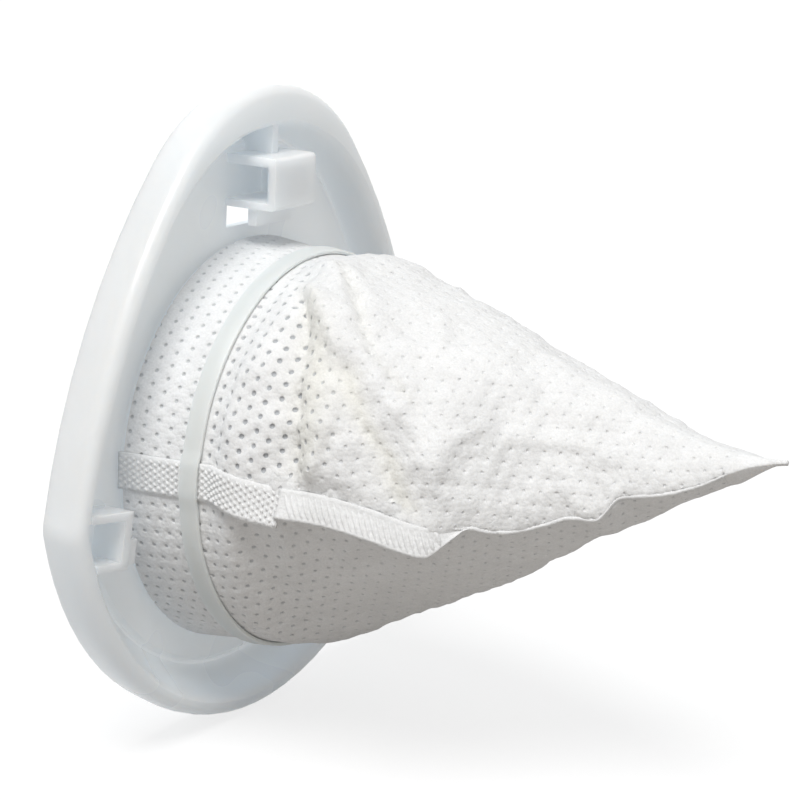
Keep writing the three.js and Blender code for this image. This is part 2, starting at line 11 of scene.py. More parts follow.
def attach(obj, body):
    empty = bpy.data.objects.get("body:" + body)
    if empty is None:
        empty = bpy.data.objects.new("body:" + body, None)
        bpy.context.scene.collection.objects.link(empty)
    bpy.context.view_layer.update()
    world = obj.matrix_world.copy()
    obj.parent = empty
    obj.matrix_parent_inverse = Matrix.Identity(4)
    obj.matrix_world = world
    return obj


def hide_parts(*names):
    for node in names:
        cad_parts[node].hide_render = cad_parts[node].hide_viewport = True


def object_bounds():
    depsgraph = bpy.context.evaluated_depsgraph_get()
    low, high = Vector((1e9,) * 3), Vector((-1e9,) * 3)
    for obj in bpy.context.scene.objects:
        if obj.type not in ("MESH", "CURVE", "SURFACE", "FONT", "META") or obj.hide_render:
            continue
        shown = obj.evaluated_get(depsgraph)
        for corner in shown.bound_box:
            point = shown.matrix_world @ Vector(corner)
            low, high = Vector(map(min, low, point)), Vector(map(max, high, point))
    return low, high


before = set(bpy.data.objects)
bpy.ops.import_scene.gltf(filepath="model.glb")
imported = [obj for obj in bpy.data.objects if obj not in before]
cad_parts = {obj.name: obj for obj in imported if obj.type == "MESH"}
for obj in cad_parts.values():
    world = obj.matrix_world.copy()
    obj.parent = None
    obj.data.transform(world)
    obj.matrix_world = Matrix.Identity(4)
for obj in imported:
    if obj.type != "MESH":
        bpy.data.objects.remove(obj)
cad_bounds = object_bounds()
MM = 0.001
scene = bpy.context.scene

# The camera, in millimetres and degrees
AZIMUTH, ELEVATION, ROLL = (math.radians(a) for a in (59.33, 13.43, 2.48))
LOOK_AT = Vector((3.5, 61.39, -3.72))
DISTANCE = 584.81
FOCAL_PIXELS = 2601
PICTURE = 800
SENSOR = 36

# The backdrop's strength on the object, and the floor in mm
AMBIENT = 0.45
FLOOR_REACH, FLOOR_DROP = 3000, 0.5
FLOOR_LIT, FLOOR_SHOWN, FLOOR_GLOW = (0.38, 0.36, 0.34, 1), (0.27, 0.27, 0.27, 1), 0.76

# The collar and the cuff of cloth on it. All lengths are in mm from here on.
COLLAR_ROOT, COLLAR_TIP, COLLAR_LENGTH = 40.9, 38.4, 21.5
CLOTH_GAP = 0.9
BAG_MOUTH = 3.5
TIP_REACH, TIP_RISE, TIP_SIDE, TIP_SIZE = 123.6, 15.8, -4.0, 0.4

# The weld strip, in two widths. The shares are of the bag's free length.
STRIP_WIDTH, STRIP_FREE_WIDTH, STRIP_LOWER_EDGE = 7.3, 5.4, -2.4
STRIP_STEP, STRIP_CORNER, STRIP_END = 0.168, 0.451, 0.497
STRIP_LAYER, STRIP_FLARE, STRIP_WAVE = 0.6, 1.7, 0.3
CUFF_STAND_OFF, FREE_STAND_OFF = 0.35, 0.6
DOT_SPACING, DOT_ROWS, DOT_CORNER = (0.93, 1.25), 5, (1.7, 1.75)
RIB_SPACING, RIB_CORNER, RIB_MARGIN = (1.22, 10), (3.4, 0.85 + STRIP_FREE_WIDTH / 2), 2.2

# The band
BAND_START, BAND_WIDTH, BAND_THICKNESS = 16.5, 3.8, 0.8
BAND_ROUNDING, BAND_CLEARANCE, BAND_OVER_STRIP, BAND_WANDER = 0.28, 0.12, 0.55, 0.25

# The holes in the cloth, and the lattice of cells that carries them
HOLE_COLUMNS, HOLE_PITCH, HOLE_RADIUS, HOLE_DEPTH = 3.0, 2.85, 0.58, 0.42
HOLE_SIDES = 8
# Rings of a hole: share of its radius, depth, and how far the ring counts as inside, which is also its share
# of the hole's painted shade
HOLE_RINGS = ((0.8, HOLE_DEPTH, 1.0), (1.0, 0.08, 0.1), (1.18, 0.01, 0.01))
CLOSED_NARROWING, CLOSED_DEPTH = 0.45, 0.4
LATTICE_COLUMNS, LATTICE_ROWS = 60, 76
CELL_WELD, BUMP_WELD = 0.05, 0.0001
HALF_ROW = 0.5
CUT_SPAN = 300  # length of one unit of the cloth's flat pattern
UNIT = 1 / (CUT_SPAN * MM)

# The plain tip: the share of the free length where it begins, its skin over the cloth and their overlap
TIP_START, TIP_SKIN, TIP_OVERLAP = 0.895, 0.38, 1.6
FOLDED_EDGE_SIZE = 0.42

# How far the cloth's grid runs on past the weld, in turns, and the length of one turn there. Its margins
# lean inwards under the strip, and are tucked in and down past the strip's end.
MARGIN_TURN, MARGIN_RUN = 0.1, 25
UPPER_MARGIN_LEAN, LOWER_MARGIN_LEAN, TUCK_LEAN, TUCK_DROP = 0.3, 0.18, 0.9, 0.12
# Rows and columns of that grid where the flat pattern is measured and set upright
SCALE_ROWS, SCALE_COLUMNS, SCALE_STEP = (20, 90), (10, 60), 5
UPRIGHT_ROW, UPRIGHT_COLUMNS = 30, (8, 40)

# The moulded frame's edges
EDGE_ROUNDING = 0.28
SHARP_ANGLE, FLAT_ANGLE = math.radians(32), math.radians(0.7)


def smooth(x, low, high):
    """0 below low, 1 above high and a soft curve between them."""
    t = np.clip((np.asarray(x, float) - low) / (high - low), 0, 1)
    return t * t * (3 - 2 * t)


def ramp(x, low, high):
    """0 below low, 1 above high and straight between them, with crisp ends."""
    return np.clip((x - low) / (high - low), 0, 1)


def bell(x, width):
    """1 at 0, falling off softly on both sides."""
    return np.exp(-((x / width) ** 2))


def ridge(x, before, after):
    """1 at 0, falling off from a sharp edge over one length before it and another after it."""
    return np.exp(-np.abs(x) / np.where(x < 0, before, after))


def line(stations):
    """A smooth curve through points, with no overshoot."""
    xs, ys = (np.array(v, float) for v in zip(*stations))
    step = np.diff(ys) / np.diff(xs)
    slope = np.zeros(len(xs))
    same = step[:-1] * step[1:] > 0
    slope[1:-1][same] = 2 * step[:-1][same] * step[1:][same] / (step[:-1] + step[1:])[same]

    def value(x):
        x = np.clip(np.asarray(x, float), xs[0], xs[-1])
        i = np.clip(np.searchsorted(xs, x, side="right") - 1, 0, len(xs) - 2)
        width = xs[i + 1] - xs[i]
        t = (x - xs[i]) / width
        rise = 3 * t**2 - 2 * t**3
        bend = slope[i] * (t - 2 * t**2 + t**3) + slope[i + 1] * (t**3 - t**2)
        return ys[i] + (ys[i + 1] - ys[i]) * rise + width * bend

    return value


# The bag beyond the collar, as in the part's source. The first number is a share of its free length.
CROWN = line([(0, 1), (0.07, 1), (0.18, 0.9), (0.36, 0.7), (0.64, 0.33), (0.81, 0.11), (1, 0)])
KEEL = line([(0, -1), (0.05, -1.01), (0.21, -0.88), (0.44, -0.65), (0.58, -0.47), (0.73, -0.29),
             (0.9, -0.11), (1, 0)])
FAR = line([(0, 1), (0.13, 0.97), (0.38, 0.8), (0.67, 0.51), (0.87, 0.25), (1, 0)])
NEAR = line([(0, -1), (0.05, -1.03), (0.18, -0.97), (0.36, -0.87), (0.44, -0.8), (0.5, -0.61), (0.67, -0.36),
             (0.9, -0.09), (1, 0)])
SEAM = line([(0, 0.13), (0.09, 0.07), (0.17, 0.018), (0.22, 0), (0.33, -0.077), (0.45, -0.188), (0.5, -0.205),
             (0.525, -0.236), (0.555, -0.252), (0.6, -0.238), (0.645, -0.21), (0.69, -0.226), (0.73, -0.125),
             (0.785, -0.127), (0.845, -0.1), (0.94, -0.01), (1, 0)])
# How square the section is in each quarter
NEAR_TOP = line([(0, 2), (0.28, 1.9), (0.57, 1.75), (1, 1.6)])
NEAR_UNDER = line([(0, 2), (0.1, 1.5), (0.28, 1.25), (0.44, 1.2), (0.52, 1.25), (1, 1.15)])
FAR_SIDE = line([(0, 2), (0.28, 1.9), (0.57, 1.6), (1, 1.4)])

# Lines of the folds on the near upper side: the share of the free length at each height, from the seam
# at 0 to the crown at 1. The first pleat climbs from its foot to its brow. The second climbs from its
# pocket to the crest, which a crease follows.
PLEAT_FOOT = line([(0.08, 0.185), (0.16, 0.18), (0.26, 0.17), (0.35, 0.158), (0.44, 0.148), (0.52, 0.132),
                   (0.6, 0.11), (0.67, 0.08), (0.74, 0.04)])
PLEAT_BROW = line([(0.08, 0.23), (0.2, 0.242), (0.32, 0.242), (0.44, 0.222), (0.54, 0.19), (0.6, 0.15),
                   (0.66, 0.115), (0.74, 0.07)])
POCKET = line([(0.05, 0.385), (0.13, 0.365), (0.2, 0.35), (0.25, 0.318), (0.32, 0.28), (0.38, 0.255),
               (0.45, 0.235)])
CREST = line([(0.04, 0.49), (0.2, 0.458), (0.3, 0.425), (0.35, 0.392), (0.39, 0.35), (0.43, 0.32),
              (0.47, 0.288), (0.5, 0.258), (0.56, 0.222), (0.63, 0.19), (0.72, 0.152), (0.82, 0.1),
              (0.96, 0.03)])
CREASE = line([(0.05, 0.508), (0.16, 0.487), (0.26, 0.462), (0.36, 0.425), (0.39, 0.395), (0.44, 0.357),
               (0.47, 0.332), (0.5, 0.302), (0.53, 0.268), (0.58, 0.238), (0.64, 0.21), (0.72, 0.177),
               (0.8, 0.13), (0.96, 0.055)])
# Shallow folds across the cone beyond the crest: the height at each share, how far the fold stands, and
# the shares between which it runs
CROSS_FOLDS = [
    (line([(0.4, 0.4), (0.428, 0.365), (0.462, 0.39), (0.5, 0.41), (0.6, 0.45), (0.75, 0.47)]),
     0.024, 0.4, 0.8),
    (line([(0.27, 0.66), (0.4, 0.62), (0.55, 0.67), (0.7, 0.66)]), 0.015, 0.25, 0.72),
    (line([(0.5, 0.13), (0.6, 0.2), (0.72, 0.27), (0.85, 0.3)]), 0.018, 0.48, 0.88),
]
# How far each fold stands out or dips in, as a share of the section's size
PLEAT_STAND, PLEAT_DIP = 0.085, 0.05
POCKET_DIP = 0.046
CREST_STAND, CREASE_DIP = 0.063, 0.07
UNDER_FOLD, HANGING_FOLD, HANGING_COUNT = 0.03, 0.03, 9.5


def collar_radius(x):
    """The collar's outer radius, which tapers from its root to its tip."""
    return COLLAR_ROOT + (COLLAR_TIP - COLLAR_ROOT) * np.clip(np.asarray(x, float) / COLLAR_LENGTH, 0, 1)


TIP_RADIUS = float(collar_radius(COLLAR_LENGTH)) + CLOTH_GAP
FREE_LENGTH = TIP_REACH - COLLAR_LENGTH


def near_point(share):
    """The side point where the cloth turns under: its place across and its height."""
    root = SEAM(share) * TIP_RADIUS * smooth(share, 0, 0.12)
    return np.minimum(NEAR(share) * TIP_RADIUS, -TIP_SIZE), root


def first_pleat(share, rise):
    """How far the first pleat stands, and how much painted shade the cloth gets on its flank."""
    foot, brow = PLEAT_FOOT(rise), PLEAT_BROW(rise)
    strong = smooth(rise, 0.0, 0.1) * (1 - smooth(rise, 0.62, 0.78))
    climb = ramp(share, foot, brow)
    fade = np.exp(-np.maximum(share - brow, 0) / 0.06)
    stand = strong * (PLEAT_STAND * climb * fade - PLEAT_DIP * ridge(share - foot, 0.035, 0.012))
    middle, width = 0.6 * foot + 0.4 * brow, 0.55 * (brow - foot) + 0.004
    return stand, strong * bell(share - middle, width)


def second_pleat(share, rise):
    """How far the second pleat stands, with its pocket and crest, and how much painted shade the cloth gets
    in its pocket and beside its crease.
    """
    pocket, crest, crease = POCKET(rise), CREST(rise), CREASE(rise)
    lower = smooth(rise, 0.0, 0.08) * (1 - smooth(rise, 0.42, 0.5))
    high = 1 - smooth(rise, 0.8, 1.0)
    before = ramp(share, crest - 0.08, crest - 0.003)
    past = np.maximum(share - crease, 0)
    after = 0.35 * np.exp(-past / 0.012) + 0.65 * np.exp(-past / 0.09)
    groove = smooth(rise, 0.3, 0.42) * ridge(share - crease - 0.003, 0.008, 0.008)
    stand = high * (CREST_STAND * before * after - CREASE_DIP * groove)
    stand = stand - POCKET_DIP * lower * ridge(share - pocket, 0.024, 0.03)
    shade = high * smooth(rise, 0.35, 0.5) * bell(share - crease - 0.004, 0.014)
    return stand, 0.9 * lower * bell(share - pocket - 0.012, 0.026) + 0.4 * shade


def fold(share, rise):
    """How far the folds move the cloth outwards, as a share of the section, and how much painted shade it
    gets.
    """
    share, rise = np.broadcast_arrays(np.asarray(share, float), np.asarray(rise, float))
    stands, painted_shades = zip(first_pleat(share, rise), second_pleat(share, rise))
    out = sum(stands)
    for path, stand, low, top in CROSS_FOLDS:
        along = smooth(share, low, low + 0.06) * (1 - smooth(share, top - 0.1, top))
        out = out + stand * along * ridge(rise - path(share), 0.035, 0.035)
    return out, np.clip(sum(painted_shades), 0, 1)


def fold_under(share, part):
    """The long soft fold along the underside and the short ones that hang below the strip."""
    along = smooth(share, 0.05, 0.3) * (1 - smooth(share, 0.8, 0.95))
    long_fold = along * (UNDER_FOLD * ridge(part - 0.52 - 0.1 * share, 0.12, 0.12) - 0.008)
    hang = np.exp(-part / 0.3) * smooth(share, 0.03, 0.1) * (1 - smooth(share, 0.4, 0.55))
    wave = 1 - np.abs(2 * ((share * HANGING_COUNT + 0.35 * part) % 1) - 1) ** 0.7 * 2
    return long_fold + HANGING_FOLD * hang * wave


def section(share, turn):
    """A point of the free bag, by turn: 0 is the near side, 1 the crown, 2 the far side and 3 the keel."""
    share, turn = np.broadcast_arrays(np.asarray(share, float), np.asarray(turn, float))
    near_y, near_z = near_point(share)
    far_y = np.maximum(FAR(share) * TIP_RADIUS, TIP_SIZE)
    crown_z = np.maximum(CROWN(share) * TIP_RADIUS, TIP_SIZE)
    keel_z = np.minimum(KEEL(share) * TIP_RADIUS, -TIP_SIZE)
    t = np.mod(turn, 4)
    quarter = np.floor(t).astype(int)
    part = t - quarter
    angle = np.where(quarter % 2 == 0, part, 1 - part) * (math.pi / 2)
    near = (quarter == 0) | (quarter == 3)
    side_y, side_z = np.where(near, near_y, far_y), np.where(near, near_z, 0)
    end_z = np.where(quarter < 2, crown_z, keel_z)
    full = np.select([quarter == 0, quarter == 3], [NEAR_TOP(share), NEAR_UNDER(share)], FAR_SIDE(share))
    c = np.maximum(np.cos(angle), 1e-9) ** (2 / full)
    s = np.maximum(np.sin(angle), 1e-9) ** (2 / full)
    y = side_y * c
    z = end_z * s + side_z * (1 - s)
    folds = np.select([quarter == 0, quarter == 3], [fold(share, part)[0], fold_under(share, 1 - part)], 0)
    return y * (1 + folds) + TIP_SIDE * share, z * (1 + folds) + TIP_RISE * share


def crumple(p):
    """Small wrinkles of the free cloth."""
    broad = noise.noise(Vector((p[0] * 0.035, p[1] * 0.05, p[2] * 0.05)))
    medium = noise.noise(Vector((p[0] * 0.11 + 7, p[1] * 0.09, p[2] * 0.09)))
    fine = noise.noise(Vector((p[0] * 0.28 + 3, p[1] * 0.2, p[2] * 0.2 + 5)))
    return 0.9 * broad + (0.85 * (1 - abs(2 * medium)) - 0.42) + (0.42 * (1 - abs(2.2 * fine)) - 0.2)


def mesh_object(name, vertices, faces):
    """An object at the origin from points in mm and faces, smoothly shaded."""
    mesh = bpy.data.meshes.new(name)
    mesh.from_pydata([tuple(float(c) * MM for c in v) for v in vertices], [], faces)
    mesh.validate()
    mesh.update()
    for polygon in mesh.polygons:
        polygon.use_smooth = True
    thing = bpy.data.objects.new(name, mesh)
    scene.collection.objects.link(thing)
    return thing


def quads(rows, columns, round_columns=False, round_rows=False):
    """Faces of a grid of points given row by row, which may close on itself either way."""
    faces = []
    for i in range(rows if round_rows else rows - 1):
        for k in range(columns if round_columns else columns - 1):
            here, there, after = i * columns, (i + 1) % rows * columns, (k + 1) % columns
            faces.append((here + k, here + after, there + after, there + k))
    return faces


def finished_piece(name, vertices, faces, finish):
    """A piece with its faces turned outwards and its material on."""
    thing = mesh_object(name, vertices, faces)
    bm = bmesh.new()
    bm.from_mesh(thing.data)
    bmesh.ops.recalc_face_normals(bm, faces=bm.faces)
    bm.to_mesh(thing.data)
    bm.free()
    thing.data.materials.append(finish)
    return thing


def remove(*things):
    """Take helper objects out of the scene."""
    for thing in things:
        bpy.data.objects.remove(thing, do_unlink=True)


# Nodes

def add(tree, kind, *links, **settings):
    """A new node, with its settings, and links to its inputs as (input, source output or number)."""
    node = tree.nodes.new(kind)
    for key, value in settings.items():
        setattr(node, key, value)
    for socket, source in links:
        if isinstance(source, bpy.types.NodeSocket):
            tree.links.new(source, node.inputs[socket])
        else:
            node.inputs[socket].default_value = source
    return node


def maths(tree, operation, *values):
    """A number worked out from numbers."""
    return add(tree, "ShaderNodeMath", *enumerate(values), operation=operation).outputs[0]


def vectors(tree, operation, first, *second):
    """A vector worked out from vectors, or from a vector and a number to scale it by."""
    socket = "Scale" if operation == "SCALE" else 1
    links = [(0, first), *((socket, value) for value in second)]
    return add(tree, "ShaderNodeVectorMath", *links, operation=operation).outputs[0]


def remap(tree, value, to_low, to_high, low=0.0, high=1.0):
    """A number moved from one span to another."""
    spans = ("From Min", low), ("From Max", high), ("To Min", to_low), ("To Max", to_high)
    return add(tree, "ShaderNodeMapRange", ("Value", value), *spans).outputs[0]


def blend(tree, factor, first, second):
    """A colour between two colours."""
    inputs = ("Factor", factor), (6, first), (7, second)
    return add(tree, "ShaderNodeMix", *inputs, data_type="RGBA").outputs[2]


def grain(tree, place, scale, **more):
    """Noise of a given fineness, from 0 to 1."""
    inputs = (("Vector", place), ("Scale", scale), *((key, value) for key, value in more.items()))
    return add(tree, "ShaderNodeTexNoise", *inputs).outputs["Fac"]


def named(tree, name, kind="FLOAT"):
    """A geometry's attribute, by its name."""
    return add(tree, "GeometryNodeInputNamedAttribute", ("Name", name), data_type=kind).outputs[0]


def store(tree, geometry, name, value, kind="FLOAT"):
    """The geometry with a value kept on its points."""
    inputs = ("Geometry", geometry), ("Name", name), ("Value", value)
    return add(tree, "GeometryNodeStoreNamedAttribute", *inputs, data_type=kind, domain="POINT").outputs[0]


# Materials

def new_material(name, **sockets):
    """A material with values for its shader's sockets, its node tree and the shader."""
    material = bpy.data.materials.new(name)
    material.use_nodes = True
    shader = material.node_tree.nodes["Principled BSDF"]
    for key, value in sockets.items():
        shader.inputs[key.replace("_", " ")].default_value = value
    return material, material.node_tree, shader


def cloth_finish():
    """White nonwoven cloth: matt fibres, a warm painted shade in the folds, and grey painted shade at the
    bottoms of the holes for the bag's shaded inside seen through them.
    """
    material, tree, shader = new_material(
        "nonwoven cloth", Roughness=0.85, Specular_IOR_Level=0.2, Sheen_Weight=0.15, Sheen_Roughness=0.5,
        Subsurface_Weight=0.15, Subsurface_Scale=0.0012, Subsurface_Radius=(1.0, 0.95, 0.88),
    )
    place = add(tree, "ShaderNodeTexCoord").outputs["Object"]
    fibres = grain(tree, place, 2600.0, Detail=3.0)
    patches = grain(tree, place, 160.0, Detail=6.0, Roughness=0.65)
    painted_fold_shade, pit, opened = (
        add(tree, "ShaderNodeAttribute", attribute_name=name).outputs["Fac"]
        for name in ("painted_fold_shade", "pit", "opened")
    )
    # painted shade: the cloth turns warmer and darker where its folds lie in shade
    fold_shaded_tone = blend(tree, painted_fold_shade, (0.855, 0.855, 0.85, 1), (0.83, 0.82, 0.77, 1))
    cloud = remap(tree, patches, 0.935, 1.03, 0.3, 0.7)
    fine = remap(tree, fibres, 0.93, 1.03, 0.3, 0.7)
    shade = vectors(tree, "SCALE", fold_shaded_tone, maths(tree, "MULTIPLY", cloud, fine))
    # painted shade: the bottoms of the holes turn grey, more where the cloth is more open, for the shaded
    # inside of the bag
    painted_hole_shade = maths(tree, "MULTIPLY", remap(tree, opened, 0.1, 0.85), pit)
    tree.links.new(blend(tree, painted_hole_shade, shade, (0.43, 0.445, 0.465, 1)), shader.inputs["Base Color"])
    crepe = add(tree, "ShaderNodeTexVoronoi", ("Vector", place), ("Scale", 1050.0), ("Randomness", 0.75))
    height = maths(tree, "MULTIPLY_ADD", crepe.outputs["Distance"], -1.3, fibres)
    bump = add(tree, "ShaderNodeBump", ("Height", height), ("Strength", 0.45), ("Distance", 0.00022))
    tree.links.new(bump.outputs[0], shader.inputs["Normal"])
    return material


def plastic_finish(name, colour, scale, weight, rough, glow=0.0):
    """Satin plastic that light passes into, faintly cloudy and rippled. It may glow a little, painted light
    that brightens it as light coming through it would.
    """
    material, tree, shader = new_material(
        name, Roughness=rough, Specular_IOR_Level=0.5, Subsurface_Weight=weight, Subsurface_Scale=scale,
        Subsurface_Radius=(0.9, 1.0, 1.1), Emission_Strength=glow, Emission_Color=(*colour, 1),
    )
    place = add(tree, "ShaderNodeTexCoord").outputs["Object"]
    flow, ripple = (grain(tree, place, fineness, Detail=0.0) for fineness in (16.0, 55.0))
    cloudy = tuple(c * share for c, share in zip(colour, (0.965, 0.985, 1.0)))
    tone = blend(tree, remap(tree, flow, 0.0, 1.0, 0.3, 0.7), (*cloudy, 1), (*colour, 1))
    tree.links.new(tone, shader.inputs["Base Color"])
    tree.links.new(remap(tree, ripple, rough - 0.08, rough + 0.1), shader.inputs["Roughness"])
    bump = add(tree, "ShaderNodeBump", ("Height", ripple), ("Strength", 0.2), ("Distance", 0.0003))
    tree.links.new(bump.outputs[0], shader.inputs["Normal"])
    return material


CLOTH_FINISH = cloth_finish()
# painted light: the frame's faint glow brightens it, standing in for light that passes through the milky
# plastic
FRAME_FINISH = plastic_finish(
    "milky moulded plastic", (0.87, 0.925, 0.975), scale=0.008, weight=1.0, rough=0.3, glow=0.045,
)
BAND_FINISH = plastic_finish(
    "pale flexible plastic", (0.74, 0.775, 0.765), scale=0.002, weight=0.7, rough=0.38,
)


# A pattern laid on a surface by its flat pattern

def lattice(tree, get):
    """Points in staggered columns, each of which keeps its own place as its middle."""
    grid = add(tree, "GeometryNodeMeshGrid", ("Size X", 1.0), ("Size Y", 1.0),
               ("Vertices X", get["Columns"]), ("Vertices Y", get["Rows"])).outputs["Mesh"]
    index = add(tree, "GeometryNodeInputIndex").outputs[0]
    column = maths(tree, "FLOOR", maths(tree, "DIVIDE", index, get["Rows"]))
    row = maths(tree, "SUBTRACT", index, maths(tree, "MULTIPLY", column, get["Rows"]))
    odd = maths(tree, "FLOORED_MODULO", column, 2.0)
    shifted = maths(tree, "MULTIPLY_ADD", odd, get["Stagger"], row)
    x = maths(tree, "MULTIPLY", column, get["Column spacing"])
    y = maths(tree, "MULTIPLY", shifted, get["Row spacing"])
    flat = add(tree, "ShaderNodeCombineXYZ", ("X", x), ("Y", y)).outputs[0]
    place = vectors(tree, "ADD", flat, get["Corner"])
    laid = add(tree, "GeometryNodeSetPosition", ("Geometry", grid), ("Position", place)).outputs[0]
    points = add(tree, "GeometryNodeMeshToPoints", ("Mesh", laid)).outputs[0]
    return store(tree, points, "middle", add(tree, "GeometryNodeInputPosition").outputs[0], "FLOAT_VECTOR")


def pattern_tree():
    """Copies of an element in staggered columns, laid on a surface by its flat pattern."""
    tree = bpy.data.node_groups.new("Pattern on a surface", "GeometryNodeTree")
    face = tree.interface
    face.new_socket("Geometry", in_out="OUTPUT", socket_type="NodeSocketGeometry")
    for name, kind in (
        ("Geometry", "Geometry"), ("Surface", "Object"), ("Element", "Object"), ("Finish", "Material"),
        ("Column spacing", "Float"), ("Row spacing", "Float"), ("Columns", "Int"), ("Rows", "Int"),
        ("Stagger", "Float"), ("Corner", "Vector"), ("Unit", "Float"), ("Weld", "Float"),
    ):
        face.new_socket(name, in_out="INPUT", socket_type="NodeSocket" + kind)
    get = add(tree, "NodeGroupInput").outputs
    surface, element = (
        add(tree, "GeometryNodeObjectInfo", ("Object", get[name])).outputs["Geometry"]
        for name in ("Surface", "Element")
    )
    copies = add(tree, "GeometryNodeInstanceOnPoints", ("Points", lattice(tree, get)), ("Instance", element))
    real = add(tree, "GeometryNodeRealizeInstances", ("Geometry", copies.outputs[0])).outputs[0]
    joined = add(tree, "GeometryNodeMergeByDistance", ("Geometry", real), ("Distance", get["Weld"]))
    place = add(tree, "GeometryNodeInputPosition").outputs[0]
    middle, pattern = (named(tree, name, "FLOAT_VECTOR") for name in ("middle", "UVMap"))
    opened, pit = named(tree, "opened"), named(tree, "pit")

    def sampled(value, kind, at):
        """What the surface has at a place in its flat pattern."""
        node = add(tree, "GeometryNodeSampleUVSurface", ("Mesh", surface), ("Sample UV", at), data_type=kind)
        tree.links.new(pattern, node.inputs["UV Map"])
        tree.links.new(value, node.inputs["Value"])
        return node.outputs

    # a hole is smaller where the cloth is less open
    wide = sampled(opened, "FLOAT", vectors(tree, "SCALE", middle, get["Unit"]))["Value"]
    narrow = maths(tree, "MULTIPLY_ADD", wide, -CLOSED_NARROWING, CLOSED_NARROWING)
    narrow = maths(tree, "MULTIPLY", narrow, maths(tree, "GREATER_THAN", pit, 0.0))
    inward = vectors(tree, "SCALE", vectors(tree, "SUBTRACT", middle, place), narrow)
    flat = vectors(tree, "SCALE", vectors(tree, "ADD", place, inward), get["Unit"])
    kept = store(tree, joined.outputs[0], "flat", flat, "FLOAT_VECTOR")
    level = add(tree, "ShaderNodeSeparateXYZ", ("Vector", place)).outputs["Z"]
    kept = store(tree, kept, "lift", level)

    # what lies outside the cloth is cut off
    at = named(tree, "flat", "FLOAT_VECTOR")
    where = sampled(place, "FLOAT_VECTOR", at)
    outside = add(tree, "FunctionNodeBooleanMath", (0, where["Is Valid"]), operation="NOT").outputs[0]
    trimmed = add(tree, "GeometryNodeDeleteGeometry", ("Geometry", kept), ("Selection", outside),
                  domain="POINT")
    openness = sampled(opened, "FLOAT", at)["Value"]
    # the painted shade of the folds is carried over from the surface
    painted_fold_shade = sampled(named(tree, "painted_fold_shade"), "FLOAT", at)["Value"]
    marked = store(tree, trimmed.outputs[0], "painted_fold_shade", painted_fold_shade)
    marked = store(tree, marked, "opened", openness)

    # a hole is shallower too where the cloth is less open
    shallow = maths(tree, "MULTIPLY_ADD", openness, 1 - CLOSED_DEPTH, CLOSED_DEPTH)
    in_hole = add(tree, "FunctionNodeCompare", ("A", pit), ("B", 0.0), operation="GREATER_THAN").outputs[0]
    depth = add(tree, "GeometryNodeSwitch", ("Switch", in_hole), ("False", 1.0), ("True", shallow),
                input_type="FLOAT").outputs[0]
    height = maths(tree, "MULTIPLY", named(tree, "lift"), depth)
    normal = sampled(add(tree, "GeometryNodeInputNormal").outputs[0], "FLOAT_VECTOR", at)["Value"]
    offset = vectors(tree, "SCALE", vectors(tree, "NORMALIZE", normal), height)
    final = vectors(tree, "ADD", where["Value"], offset)
    placed = add(tree, "GeometryNodeSetPosition", ("Geometry", marked), ("Position", final)).outputs[0]
    smoothed = add(tree, "GeometryNodeSetShadeSmooth", ("Geometry", placed)).outputs[0]
    plain = add(tree, "GeometryNodeRealizeInstances", ("Geometry", smoothed)).outputs[0]
    finish = add(tree, "GeometryNodeSetMaterial", ("Geometry", plain), ("Material", get["Finish"]))
    add(tree, "NodeGroupOutput", ("Geometry", finish.outputs[0]))
    return tree


PATTERN = pattern_tree()


def lay_pattern(name, surface, element, columns, rows, spacing, stagger, corner, weld):
    """A plain mesh of the element repeated over the cloth's surface."""
    thing = mesh_object(name, [], [])
    modifier = thing.modifiers.new("pattern", "NODES")
    modifier.node_group = PATTERN
    values = {
        "Surface": surface, "Element": element, "Finish": CLOTH_FINISH, "Column spacing": spacing[0] * MM,
        "Row spacing": spacing[1] * MM, "Columns": columns, "Rows": rows, "Stagger": stagger,
        "Corner": (corner[0] * MM, corner[1] * MM, 0), "Unit": UNIT, "Weld": weld * MM,
    }
    for socket in PATTERN.interface.items_tree:
        if socket.item_type == "SOCKET" and socket.in_out == "INPUT" and socket.name in values:
            modifier[socket.identifier] = values[socket.name]
    thing.update_tag()
    graph = bpy.context.evaluated_depsgraph_get()
    mesh = bpy.data.meshes.new_from_object(thing.evaluated_get(graph))
    thing.modifiers.clear()
    thing.data = mesh
    mesh.name = name
    mesh.materials.clear()
    mesh.materials.append(CLOTH_FINISH)
    return thing


# The cloth

def cuff_rows(turns):
    """The cloth on the collar, row by row: its points, how much painted shade it gets, how open it is, and
    its margin.
    """
    angle = math.pi - turns * math.pi / 2
    for x in np.linspace(BAG_MOUTH - 2.4, COLLAR_LENGTH - 0.9, 18):
        radius = float(collar_radius(x)) + CLOTH_GAP
        points = np.column_stack([np.full(len(turns), x), radius * np.cos(angle), radius * np.sin(angle)])
        yield points, np.zeros(len(turns)), np.full(len(turns), 0.55), 1.0


def free_rows(turns):
    """The cloth beyond the collar, as for the cuff. Its margin is straight, 1, up to the strip's end."""
    upper, rise = (turns >= 0) & (turns < 1), np.clip(turns, 0, 1)
    for share in np.concatenate([np.linspace(0, 0.62, 100), np.linspace(0.63, 0.985, 44)]):
        y, z = section(share, np.clip(turns, 0, 3.9999))
        points = np.column_stack([np.full(len(turns), COLLAR_LENGTH + share * FREE_LENGTH), y, z])
        brink = 0.6 * PLEAT_BROW(rise) + 0.4 * CREST(rise)
        panel = 0.08 + 0.92 * (1 - smooth(share, PLEAT_FOOT(rise), brink))
        side = 0.25 + 0.35 * (1 - smooth(share, 0.0, 0.3))
        clear = smooth(rise, 0.04, 0.1) + (1 - smooth(share, 0.16, 0.2)) + smooth(share, 0.45, 0.55)
        opened = np.where(upper, panel * np.clip(clear, 0, 1), side)
        straight = float(1 - smooth(share, STRIP_END - 0.035, STRIP_END - 0.005))
        yield points, np.where(upper, fold(share, rise)[1], 0), opened, straight


